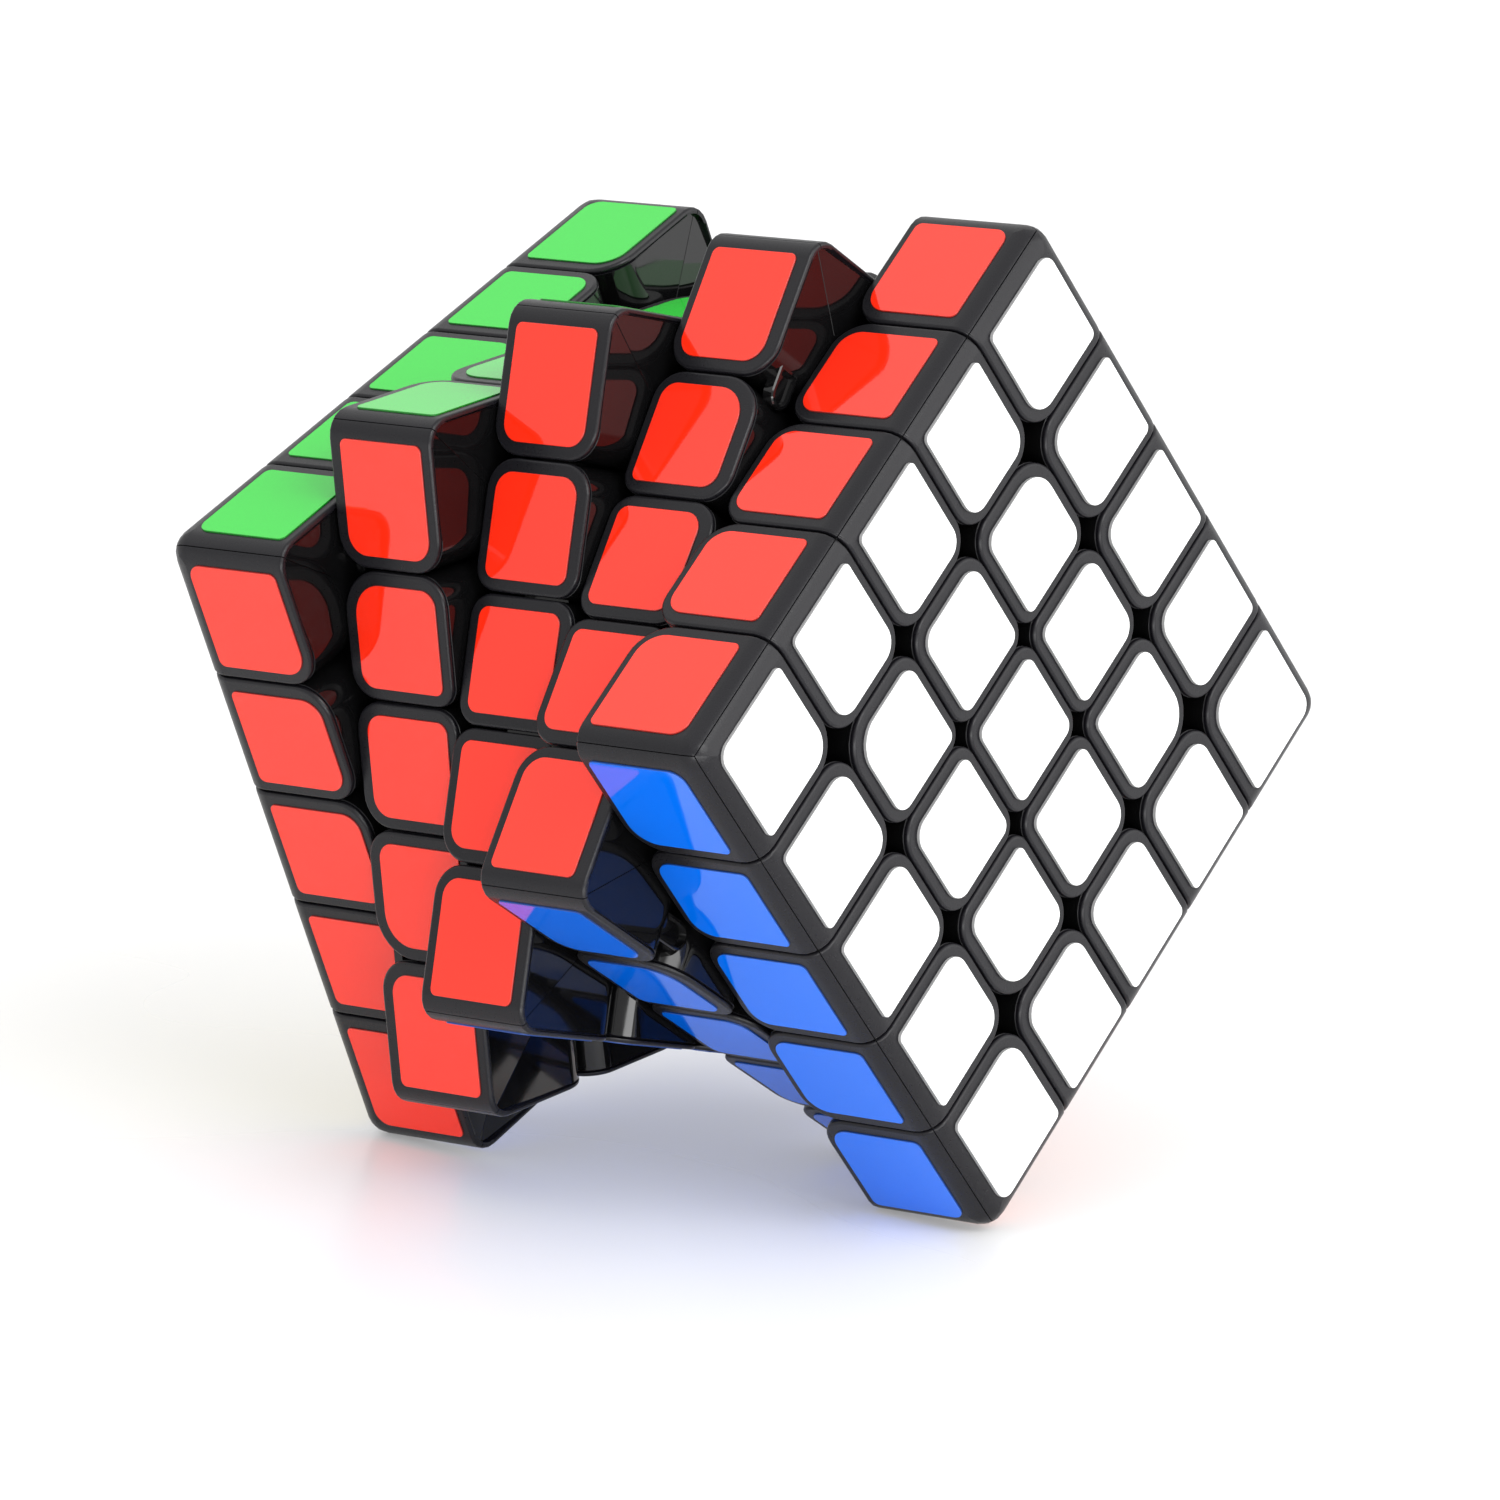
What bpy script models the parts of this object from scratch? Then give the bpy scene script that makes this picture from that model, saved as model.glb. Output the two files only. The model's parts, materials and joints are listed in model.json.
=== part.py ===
"""A five-layer twisty puzzle cube, part-turned about one axis and standing on three of its corners.

Everything is first built in the cube's own frame: its centre at the origin, its twist axis along X and its
white face at +X. An empty called stand then tilts and lifts the whole puzzle until it rests on z = 0.

The layers from the white face to the yellow face are: white_layer, white_slice, the middle layer, which the
core belongs to, yellow_slice and yellow_layer. Each of the four outer ones turns without limit about the
twist axis. Every cubie that can be shaken loose is held down by a foot that reaches under its neighbour:
corners under edges, edges under face centres, and face centres under the fixed centre, which a screw and a
spring pull towards the core. Round tracks keep the slices in line.
"""

import math

import bmesh
import bpy
from mathutils import Matrix, Vector

CUBE_ACROSS = 0.062  # over the stickers of two opposite faces
STICKER = 0.0003  # thickness of a sticker, which this model leaves off
HALF = CUBE_ACROSS / 2 - STICKER  # from the centre to the plastic of a face
INNER_CUT = 0.0057  # from the centre to the cut on each side of the middle layer
OUTER_CUT = 0.01725  # from the centre to the cut under each outer layer
GAP = 0.0003  # between neighbouring pieces
EDGE_ROUND, EDGE_STEPS = 0.0021, 3  # rounding of the twelve edges of the cube
RIM = 0.0006  # chamfer between a cubie's outside and its side walls
INNER = OUTER_CUT + GAP / 2  # the inner face of every cubie on the outside of the puzzle

LAYER_TURNS = {  # degrees about the twist axis, in the state that the puzzle is stored in
    "white_layer": -37.1,
    "white_slice": -19.0,
    "core_and_middle_layer": 0.0,
    "yellow_slice": 19.1,
    "yellow_layer": 36.4,
}
SIDES = ("green", "red", "blue", "orange")  # green is at +Z, and each next one is a quarter turn about +X
AXIS_TURNS = {  # what takes +X to each face
    "white": Matrix.Identity(4),
    "yellow": Matrix.Rotation(math.pi, 4, "Z"),
    "green": Matrix.Rotation(-math.pi / 2, 4, "Y"),
    "blue": Matrix.Rotation(math.pi / 2, 4, "Y"),
    "orange": Matrix.Rotation(math.pi / 2, 4, "Z"),
    "red": Matrix.Rotation(-math.pi / 2, 4, "Z"),
}

TRACK_RADIUS = 0.0278  # middle of the round tracks between the layers
RIB_WIDTH, RIB_HEIGHT = 0.0010, 0.0011
GROOVE_WIDTH, GROOVE_DEPTH = 0.0020, 0.0012
TRACK_SIDES = 24

POCKET = 0.0078  # width of the hollow inside a cubie
SLICE_POCKET = 0.0074  # the same across a slice, which is thinner
POCKET_ROOF = 0.0023  # plastic left between a hollow and the face of the cube
FOOT_THICK = 0.0025
FOOT_REACH = 0.0037  # how far a foot reaches under its neighbour
FOOT_HALF_WIDTH = 0.0030
EDGE_FOOT_HALF_WIDTH = 0.0080
EDGE_POCKET_START = 0.0210  # where the hollows of the outer layers' edges and corners begin
PAST = 0.0005  # how far a cutter runs past the face it opens
FOOT_LAYER = (INNER, INNER + FOOT_THICK)  # how deep the feet lie
NOTCH_LAYER = (INNER - PAST, INNER + FOOT_THICK + GAP)
FOOT_SPAN = (OUTER_CUT - GAP / 2 - FOOT_REACH, INNER + RIM)  # from under the neighbour to the piece itself
NOTCH_SPAN = (OUTER_CUT - GAP / 2 - FOOT_REACH - GAP, OUTER_CUT)
CORNER_FOOT_ALONG = (0.0194, 0.0254)  # where a corner's foot lies along the edge of the cube
WEB_WIDTH = 0.0014  # of the webs that join the cubies of a row or a ring
ROW_WEB_TOP, RING_WEB_TOP = 0.0260, 0.0270

ARM_RADIUS, ARM_END = 0.0036, 0.0163
CORE_RADIUS = 0.0075
HUB_RADIUS, HUB_START = 0.0039, ARM_END + GAP
SCREW_RADIUS, SCREW_END = 0.0012, 0.0090
SCREW_BORE = SCREW_RADIUS + GAP
HEAD_RADIUS, HEAD_LOW, HEAD_HIGH = 0.0028, 0.0256, 0.0272
SLOT_LENGTH, SLOT_WIDTH, SLOT_DEPTH = 0.0034, 0.0006, 0.0009
SHELF = 0.0204  # the spring stands on this face of a fixed centre
CHAMBER_RADIUS = 0.0035
CAP_SEAT = 0.0283  # top of a fixed centre's body, under its cap
SPIGOT_RADIUS, SPIGOT_LENGTH = 0.0031, 0.0006
SPRING_RADIUS, SPRING_WIRE, SPRING_TURNS = 0.0022, 0.00025, 4
SPRING_LOW, SPRING_HIGH = 0.02095, 0.02505
POINTS_PER_TURN = 9
ROUND_SIDES = 16
SLACK = 1e-4  # for comparing directions

BLACK = {"colour": (0.018, 0.018, 0.020), "roughness": 0.32, "metallic": 0.0}
CORE_GREY = {"colour": (0.055, 0.056, 0.060), "roughness": 0.55, "metallic": 0.0}
SCREW_STEEL = {"colour": (0.42, 0.42, 0.44), "roughness": 0.30, "metallic": 1.0}
SPRING_STEEL = {"colour": (0.55, 0.55, 0.56), "roughness": 0.25, "metallic": 1.0}


# ---- scene and helpers -----------------------------------------------------------------------------------


def new_collection(name):
    collection = bpy.data.collections.new(name)
    bpy.context.scene.collection.children.link(collection)
    return collection


def clear_scene():
    for obj in list(bpy.data.objects):
        bpy.data.objects.remove(obj)


def finish_material(name, colour, roughness, metallic):
    material = bpy.data.materials.new(name)
    material.use_nodes = True
    shader = material.node_tree.nodes["Principled BSDF"]
    shader.inputs["Base Color"].default_value = (*colour, 1.0)
    shader.inputs["Roughness"].default_value = roughness
    shader.inputs["Metallic"].default_value = metallic
    material.diffuse_color = (*colour, 1.0)
    return material


def helper(bm, name="helper"):
    """A working solid, kept among the cutters until it is merged into a part."""
    mesh = bpy.data.meshes.new(name)
    bm.to_mesh(mesh)
    bm.free()
    obj = bpy.data.objects.new(name, mesh)
    obj.hide_render = True
    obj.display_type = "WIRE"
    cutters.objects.link(obj)
    return obj


def block(x, y, z):
    """A box from three (low, high) ranges, as a bmesh."""
    bm = bmesh.new()
    bmesh.ops.create_cube(bm, size=1.0)
    low, high = Vector((x[0], y[0], z[0])), Vector((x[1], y[1], z[1]))
    bmesh.ops.scale(bm, vec=high - low, verts=bm.verts)
    bmesh.ops.translate(bm, vec=(low + high) / 2, verts=bm.verts)
    return bm


def box(x, y, z):
    return helper(block(x, y, z))


def on_outside(face, place):
    """True for a face that looks only along the axes on which the cubie at this place ends the cube."""
    return all(
        face.normal[axis] > -SLACK if place[axis] == 2 else abs(face.normal[axis]) < SLACK
        for axis in range(3)
    )


def rounded(bm, place):
    """Rounds a cubie's edges that lie on an edge of the cube, and chamfers the rim above its side walls."""
    bm.normal_update()
    outside = [face for face in bm.faces if on_outside(face, place)]
    edges = [edge for edge in bm.edges if all(face in outside for face in edge.link_faces)]
    if edges:
        bmesh.ops.bevel(bm, geom=edges, offset=EDGE_ROUND, segments=EDGE_STEPS, profile=0.5, affect="EDGES")
    bm.normal_update()
    outside = {face for face in bm.faces if on_outside(face, place)}
    rim = [edge for edge in bm.edges if sum(face in outside for face in edge.link_faces) == 1]
    bmesh.ops.bevel(bm, geom=rim, offset=RIM, segments=1, affect="EDGES")
    return helper(bm)


def rod(radius, low, high, axis="X", sides=ROUND_SIDES):
    """A cylinder about the X axis, or about the Z axis, from low to high along it."""
    bm = bmesh.new()
    bmesh.ops.create_cone(
        bm, cap_ends=True, segments=sides, radius1=radius, radius2=radius, depth=high - low
    )
    bmesh.ops.translate(bm, vec=(0, 0, (low + high) / 2), verts=bm.verts)
    if axis == "X":
        turn = Matrix.Rotation(math.pi / 2, 3, "Y")
        bmesh.ops.rotate(bm, cent=(0, 0, 0), matrix=turn, verts=bm.verts)
    return helper(bm)


def ball(radius):
    bm = bmesh.new()
    bmesh.ops.create_uvsphere(bm, u_segments=ROUND_SIDES, v_segments=ROUND_SIDES // 2, radius=radius)
    return helper(bm)


def tube(inner, outer, low, high):
    """A ring with a rectangular section, turned about the X axis."""
    bm = bmesh.new()
    corners = ((low, inner), (high, inner), (high, outer), (low, outer))
    points = [bm.verts.new((x, 0, radius)) for x, radius in corners]
    profile = points + [bm.edges.new((points[i], points[(i + 1) % 4])) for i in range(4)]
    bmesh.ops.spin(
        bm,
        geom=profile,
        cent=(0, 0, 0),
        axis=(1, 0, 0),
        dvec=(0, 0, 0),
        angle=2 * math.pi,
        steps=TRACK_SIDES,
        use_merge=True,
    )
    bmesh.ops.remove_doubles(bm, verts=bm.verts, dist=1e-6)
    bmesh.ops.recalc_face_normals(bm, faces=bm.faces)
    return helper(bm)


def boolean(obj, others, operation):
    """Unites obj with the others, cuts them from it, or keeps what they share, and removes them."""
    if not others:
        return obj
    group = bpy.data.collections.new("operands")
    bpy.context.scene.collection.children.link(group)
    for other in others:
        group.objects.link(other)
    modifier = obj.modifiers.new(operation.lower(), "BOOLEAN")
    modifier.operation = operation
    modifier.solver = "EXACT"
    modifier.operand_type = "COLLECTION"
    modifier.collection = group
    graph = bpy.context.evaluated_depsgraph_get()
    mesh = bpy.data.meshes.new_from_object(obj.evaluated_get(graph))
    obj.modifiers.clear()
    obj.data = mesh
    for other in others:
        bpy.data.objects.remove(other)
    bpy.data.collections.remove(group)
    return obj


def solid(name, adds, cuts, material):
    """The mesh of one part: the union of adds, less the cuts."""
    whole = boolean(adds[0], adds[1:], "UNION")
    whole = boolean(whole, cuts, "DIFFERENCE")
    mesh = whole.data
    mesh.name = name
    bpy.data.objects.remove(whole)
    mesh.materials.clear()
    mesh.materials.append(material)
    mesh.shade_smooth()
    mesh.set_sharp_from_angle(angle=math.radians(30))
    return mesh


# ---- what cubies share -----------------------------------------------------------------------------------


def cell(i):
    """(low, high) of cubie i along any axis: i runs from -2 to 2, and 0 is the middle one."""
    cuts = (-HALF - GAP / 2, -OUTER_CUT, -INNER_CUT, INNER_CUT, OUTER_CUT, HALF + GAP / 2)
    return cuts[i + 2] + GAP / 2, cuts[i + 3] - GAP / 2


def around(i, width):
    """A range of the given width, centred on cubie i."""
    low, high = cell(i)
    return (low + high - width) / 2, (low + high + width) / 2


def cubie(i, j, k):
    return rounded(block(cell(i), cell(j), cell(k)), (i, j, k))


def grown(span, by):
    return span[0] - by, span[1] + by


def bridge(i, width):
    """A range that joins cubies i and i + 1 along one axis across the gap between them."""
    middle = (cell(i)[1] + cell(i + 1)[0]) / 2
    return middle - width / 2, middle + width / 2


def rib(i, outward, y, z):
    """The part of a round track's rib that lies on layer i, within the y and z ranges of its piece."""
    face = cell(i)[1] if outward > 0 else cell(i)[0]
    low, high = sorted((face - outward * RIM, face + outward * RIB_HEIGHT))
    ring = tube(TRACK_RADIUS - RIB_WIDTH / 2, TRACK_RADIUS + RIB_WIDTH / 2, low, high)
    footprint = box((low - PAST, high + PAST), grown(y, -2 * RIM), grown(z, -2 * RIM))
    return boolean(ring, [footprint], "INTERSECT")


def groove(i):
    """Cutter for the groove in the face of layer i that looks towards the middle layer."""
    face = cell(i)[0]
    return tube(
        TRACK_RADIUS - GROOVE_WIDTH / 2, TRACK_RADIUS + GROOVE_WIDTH / 2, face - PAST, face + GROOVE_DEPTH
    )


# ---- the pieces of the outer layers, on the white side ---------------------------------------------------


def corner_mesh(material):
    """A corner at +X +Y +Z, with a foot under each of its two neighbours in the layer."""
    hollow = (EDGE_POCKET_START, HALF - POCKET_ROOF)
    feet = [
        box(FOOT_LAYER, FOOT_SPAN, CORNER_FOOT_ALONG),
        box(FOOT_LAYER, CORNER_FOOT_ALONG, FOOT_SPAN),
    ]
    pocket = box(hollow, hollow, (INNER - PAST, HALF - POCKET_ROOF))
    return solid("corner", [cubie(2, 2, 2)] + feet, [pocket, groove(2)], material)


def edge_row_mesh(material):
    """The three edges along the +X +Z edge of the cube, joined below their tops, and the foot they share."""
    hollow = (EDGE_POCKET_START, HALF - POCKET_ROOF)
    depth = (INNER - PAST, HALF - POCKET_ROOF)
    adds = [cubie(2, j, 2) for j in (-1, 0, 1)]
    adds += [box(hollow, bridge(j, WEB_WIDTH), (INNER + RIM, ROW_WEB_TOP)) for j in (-1, 0)]
    adds.append(box(FOOT_LAYER, (-EDGE_FOOT_HALF_WIDTH, EDGE_FOOT_HALF_WIDTH), FOOT_SPAN))
    cuts = [box(hollow, around(j, POCKET), depth) for j in (-1, 0, 1)]
    along = grown(CORNER_FOOT_ALONG, GAP)
    cuts += [
        box(NOTCH_LAYER, NOTCH_SPAN, along),
        box(NOTCH_LAYER, (-NOTCH_SPAN[1], -NOTCH_SPAN[0]), along),
        groove(2),
    ]
    return solid("edge_row", adds, cuts, material)


def face_ring_mesh(material):
    """The eight face centres around the fixed centre, joined below their tops, and the lip under it."""
    places = [(j, k) for j in (-1, 0, 1) for k in (-1, 0, 1) if (j, k) != (0, 0)]
    depth = (INNER - PAST, HALF - POCKET_ROOF)
    web_x = (NOTCH_LAYER[1] + GAP, RING_WEB_TOP)
    adds = [cubie(2, j, k) for j, k in places]
    adds += [box(web_x, bridge(j, WEB_WIDTH), around(k, POCKET)) for j in (-1, 0) for k in (-1, 1)]
    adds += [box(web_x, around(k, POCKET), bridge(j, WEB_WIDTH)) for j in (-1, 0) for k in (-1, 1)]
    lip = INNER_CUT + WEB_WIDTH
    adds.append(box(FOOT_LAYER, (-lip, lip), (-lip, lip)))
    cuts = [box(depth, around(j, POCKET), around(k, POCKET)) for j, k in places]
    wide = EDGE_FOOT_HALF_WIDTH + GAP
    for near in (NOTCH_SPAN, (-NOTCH_SPAN[1], -NOTCH_SPAN[0])):
        cuts.append(box(NOTCH_LAYER, (-wide, wide), near))
        cuts.append(box(NOTCH_LAYER, near, (-wide, wide)))
    cuts.append(rod(HUB_RADIUS + GAP, INNER - PAST, FOOT_LAYER[1] + PAST))
    return solid("face_ring", adds, cuts, material)


def fixed_centre_mesh(material):
    """The body of a fixed centre on the twist axis: a hub over the core's arm, and a spring chamber."""
    body = box((FOOT_LAYER[1] + GAP, CAP_SEAT), cell(0), cell(0))
    hub = rod(HUB_RADIUS, HUB_START, FOOT_LAYER[1] + 2 * RIM)
    cuts = [
        rod(SCREW_BORE, HUB_START - PAST, SHELF + PAST),
        rod(CHAMBER_RADIUS, SHELF, CAP_SEAT + PAST),
    ]
    return solid("fixed_centre", [body, hub], cuts, material)


def centre_cap_mesh(material):
    """The cap that closes a fixed centre on the twist axis, with a short spigot into its chamber."""
    plate = rounded(block((CAP_SEAT + GAP, HALF), cell(0), cell(0)), (2, 0, 0))
    spigot = rod(SPIGOT_RADIUS, CAP_SEAT + GAP - SPIGOT_LENGTH, CAP_SEAT + GAP + RIM)
    return solid("centre_cap", [plate, spigot], [], material)


# ---- the pieces of the slices and the middle layer -------------------------------------------------------


def tracks(i, y, z):
    """(ribs to add, grooves to cut) of a piece of layer i: 1 is the white slice and 0 the middle layer."""
    if i == 0:
        return [rib(0, 1, y, z), rib(0, -1, y, z)], []
    return [rib(i, 1, y, z)], [groove(i)]


def slice_edge_mesh(i, material):
    """An edge of a slice at +Y +Z, with a foot under each of its two neighbours."""
    foot_width = around(i, 2 * FOOT_HALF_WIDTH)
    hollow = (EDGE_POCKET_START, HALF - POCKET_ROOF)
    ribs, grooves = tracks(i, cell(2), cell(2))
    feet = [box(foot_width, FOOT_SPAN, FOOT_LAYER), box(foot_width, FOOT_LAYER, FOOT_SPAN)]
    pocket = box(around(i, SLICE_POCKET), hollow, (INNER - PAST, HALF - POCKET_ROOF))
    return solid("slice_edge", [cubie(i, 2, 2)] + feet + ribs, [pocket] + grooves, material)


def slice_centres_mesh(i, material):
    """The three face centres of a slice on the +Z side, joined below their tops."""
    depth = (INNER - PAST, HALF - POCKET_ROOF)
    width = around(i, SLICE_POCKET)
    ribs, grooves = tracks(i, (cell(-1)[0], cell(1)[1]), cell(2))
    adds = [cubie(i, j, 2) for j in (-1, 0, 1)]
    adds += [box(width, bridge(j, WEB_WIDTH), (INNER + RIM, ROW_WEB_TOP)) for j in (-1, 0)]
    hollow = (-1, 0, 1) if i else (-1, 1)
    cuts = [box(width, around(j, POCKET), depth) for j in hollow]
    notch_width = grown(around(i, 2 * FOOT_HALF_WIDTH), GAP)
    cuts += [
        box(notch_width, NOTCH_SPAN, NOTCH_LAYER),
        box(notch_width, (-NOTCH_SPAN[1], -NOTCH_SPAN[0]), NOTCH_LAYER),
    ]
    if i == 0:
        adds.append(rod(HUB_RADIUS, HUB_START, INNER + 2 * RIM, axis="Z"))
        cuts.append(rod(SCREW_BORE, HUB_START - PAST, SHELF + PAST, axis="Z"))
        cuts.append(rod(CHAMBER_RADIUS, SHELF, CAP_SEAT, axis="Z"))
    return solid("slice_centres", adds + ribs, cuts + grooves, material)


# ---- the core and what it holds --------------------------------------------------------------------------


def core_mesh(material):
    """A ball with six arms, each bored for its screw."""
    adds = [ball(CORE_RADIUS)]
    cuts = []
    for turn in AXIS_TURNS.values():
        arm = rod(ARM_RADIUS, 0.0, ARM_END)
        bore = rod(SCREW_BORE, SCREW_END - GAP, ARM_END + PAST)
        for piece in (arm, bore):
            piece.data.transform(turn)
        adds.append(arm)
        cuts.append(bore)
    return solid("core", adds, cuts, material)


def screw_mesh(material):
    """A pan-head screw along +X with a cross recess."""
    head = rod(HEAD_RADIUS, HEAD_LOW, HEAD_HIGH)
    shank = rod(SCREW_RADIUS, SCREW_END, HEAD_LOW + PAST, sides=ROUND_SIDES // 2)
    deep = (HEAD_HIGH - SLOT_DEPTH, HEAD_HIGH + PAST)
    long = (-SLOT_LENGTH / 2, SLOT_LENGTH / 2)
    narrow = (-SLOT_WIDTH / 2, SLOT_WIDTH / 2)
    return solid("screw", [head, shank], [box(deep, long, narrow), box(deep, narrow, long)], material)


def spring_curve(material):
    """A compression spring around the screw, along +X."""
    curve = bpy.data.curves.new("spring", "CURVE")
    curve.dimensions = "3D"
    curve.bevel_depth = SPRING_WIRE
    curve.bevel_resolution = 1
    curve.use_fill_caps = True
    steps = SPRING_TURNS * POINTS_PER_TURN
    spline = curve.splines.new("POLY")
    spline.points.add(steps)
    for step, point in enumerate(spline.points):
        angle = 2 * math.pi * step / POINTS_PER_TURN
        x = SPRING_LOW + (SPRING_HIGH - SPRING_LOW) * step / steps
        point.co = (x, SPRING_RADIUS * math.cos(angle), SPRING_RADIUS * math.sin(angle), 1.0)
    curve.materials.append(material)
    return curve


# ---- putting the puzzle together -------------------------------------------------------------------------


def empty(name, parent=None):
    obj = bpy.data.objects.new(name, None)
    obj.empty_display_size = HALF
    obj.parent = parent
    puzzle.objects.link(obj)
    return obj


def place(name, data, parent, turn):
    """One part: an object whose origin is on the twist axis, turned into its place in its layer."""
    obj = bpy.data.objects.new(name, data)
    obj.parent = parent
    obj.matrix_local = turn
    puzzle.objects.link(obj)
    return obj


def quarter(k, far=False):
    """A turn by k quarters about the twist axis. far first takes a white piece to the yellow side."""
    turn = Matrix.Rotation(k * math.pi / 2, 4, "X")
    return turn @ Matrix.Rotation(math.pi, 4, "Z") if far else turn


def between(k, far):
    """The two sides that meet at corner k of a layer."""
    first = k if far else k - 1
    return f"{SIDES[first % 4]}_{SIDES[(first + 1) % 4]}"


def build_outer_layers(layers, black):
    corner, edge_row = corner_mesh(black), edge_row_mesh(black)
    ring, centre, cap = face_ring_mesh(black), fixed_centre_mesh(black), centre_cap_mesh(black)
    for end, far in (("white", False), ("yellow", True)):
        layer = layers[f"{end}_layer"]
        for k in range(4):
            place(f"{end}_{between(k, far)}_corner", corner, layer, quarter(k, far))
            place(f"{end}_{SIDES[k]}_edges", edge_row, layer, quarter(k, far))
        place(f"{end}_face_centres", ring, layer, quarter(0, far))
        place(f"{end}_fixed_centre", centre, layer, quarter(0, far))
        place(f"{end}_centre_cap", cap, layer, quarter(0, far))


def build_slices(layers, black):
    edge, centres = slice_edge_mesh(1, black), slice_centres_mesh(1, black)
    for end, far in (("white", False), ("yellow", True)):
        layer = layers[f"{end}_slice"]
        for k in range(4):
            place(f"{end}_slice_{between(k, far)}_edge", edge, layer, quarter(k, far))
            place(f"{end}_slice_{SIDES[k]}_centres", centres, layer, quarter(k, far))


def build_middle(layer, black):
    edge, centres = slice_edge_mesh(0, black), slice_centres_mesh(0, black)
    for k in range(4):
        place(f"middle_{between(k, False)}_edge", edge, layer, quarter(k))
        place(f"middle_{SIDES[k]}_centres", centres, layer, quarter(k))


def build_core(layer):
    core = core_mesh(finish_material("core_plastic", **CORE_GREY))
    screw = screw_mesh(finish_material("screw_steel", **SCREW_STEEL))
    spring = spring_curve(finish_material("spring_steel", **SPRING_STEEL))
    place("core", core, layer, Matrix.Identity(4))
    for face, turn in AXIS_TURNS.items():
        place(f"{face}_screw", screw, layer, turn)
        place(f"{face}_spring", spring, layer, turn)


def points_of(obj):
    return [obj.matrix_world @ vertex.co for vertex in obj.data.vertices]


def stand_up(stand, contacts):
    """Tilts the puzzle onto its three contact corners, keeps the twist axis over X, and sets it on z = 0."""
    bpy.context.view_layer.update()
    cloud = [points_of(bpy.data.objects[name]) for name in contacts]
    up = Vector((0, 0, 1))
    for _ in range(8):
        feet = [min(points, key=lambda point: point.dot(up)) for points in cloud]
        normal = (feet[1] - feet[0]).cross(feet[2] - feet[0]).normalized()
        up = normal if normal.z > 0 else -normal
    along = (Vector((1, 0, 0)) - up * up.x).normalized()
    stand.matrix_world = Matrix((along, up.cross(along), up)).to_4x4()
    bpy.context.view_layer.update()
    meshes = [obj for obj in puzzle.objects if obj.type == "MESH"]
    every = [point for obj in meshes for point in points_of(obj)]
    low = Vector([min(point[axis] for point in every) for axis in range(3)])
    high = Vector([max(point[axis] for point in every) for axis in range(3)])
    lift = -Vector(((low.x + high.x) / 2, (low.y + high.y) / 2, low.z))
    stand.matrix_world = Matrix.Translation(lift) @ stand.matrix_world


clear_scene()
puzzle = new_collection("twisty_puzzle_cube")
cutters = new_collection("cutters")
stand = empty("stand")
layers = {name: empty(name, stand) for name in LAYER_TURNS}
for name, degrees in LAYER_TURNS.items():
    layers[name].rotation_euler = (math.radians(degrees), 0, 0)
black = finish_material("black_plastic", **BLACK)
build_outer_layers(layers, black)
build_slices(layers, black)
build_middle(layers["core_and_middle_layer"], black)
build_core(layers["core_and_middle_layer"])
stand_up(stand, ("white_blue_orange_corner", "white_slice_blue_orange_edge", "yellow_red_blue_corner"))
bpy.context.view_layer.update()
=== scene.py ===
"""Looks of the twisty puzzle cube: 98 moulded cubies, their stickers, a white acrylic floor and soft light.

Shapes are worked out in millimetres in the frame of a layer: the cube's centre at the origin, the twist
axis along X with the white face at +X, and the green side at +Z. Each layer's frame is read back from the
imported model.
"""

import json
import math

import bmesh
import bpy
from mathutils import Matrix, Vector


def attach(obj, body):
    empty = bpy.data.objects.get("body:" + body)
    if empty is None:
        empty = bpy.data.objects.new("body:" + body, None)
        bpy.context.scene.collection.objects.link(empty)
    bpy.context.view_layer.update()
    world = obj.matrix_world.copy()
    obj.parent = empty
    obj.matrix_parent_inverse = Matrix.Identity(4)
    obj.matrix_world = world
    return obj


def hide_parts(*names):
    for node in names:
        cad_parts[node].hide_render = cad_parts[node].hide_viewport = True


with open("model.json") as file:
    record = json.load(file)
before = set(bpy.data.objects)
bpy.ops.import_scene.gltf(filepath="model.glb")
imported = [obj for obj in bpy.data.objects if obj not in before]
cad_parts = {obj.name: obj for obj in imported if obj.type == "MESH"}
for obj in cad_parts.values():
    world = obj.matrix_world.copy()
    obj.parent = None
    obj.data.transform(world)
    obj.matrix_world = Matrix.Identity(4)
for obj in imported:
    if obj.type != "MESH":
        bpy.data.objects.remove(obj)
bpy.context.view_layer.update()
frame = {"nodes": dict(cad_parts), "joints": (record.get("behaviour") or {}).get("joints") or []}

MM = 0.001
SLACK = 1e-4  # for comparing positions and directions
SHARP_ANGLE = math.radians(32)  # faces that meet at more than this are shaded with a crease

# ---- sizes, in millimetres ---------------------------------------------------------------------------

HALF = 30.7  # from the centre to the plastic of a face
END_TOP, SIDE_TOP = 31.0, 30.82  # tops of the stickers at the ends of the twist axis and round the sides
CUTS = (5.7, 17.25)  # from the centre to the cuts beside the middle layer and under the outer layers
GAP = 0.18  # between neighbouring cubies
EDGE_ROUND = 2.25  # rounding of the twelve edges of the cube
RIM_ROUND = 0.30  # rounding between a cubie's outside and its side walls
ROUND_STEPS, RIM_STEPS, ARC_STEPS = 5, 4, 8

# The seam between a cubie's cap and its body: (further down the wall, depth below the wall)
SEAM = ((0.04, 0.0), (0.02, 0.14), (0.08, 0.16), (0.03, 0.09), (0.05, 0.03), (0.08, 0.0))
PARTING_HALF, PARTING_DEPTH = 0.045, 0.14  # the line along the middle of a rounded edge
PARTING_ON_WALL = 0.02  # how deep it is where it runs on down the walls

# Sticker spans from the centre line of the cube, for cubies 0, 1 and 2 of a row
ACROSS = ((-4.53, 4.53), (6.85, 15.99), (18.48, 28.60))
ALONG_AXIS = ((-4.48, 4.48), (6.77, 15.83), (18.22, 28.22))
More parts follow.
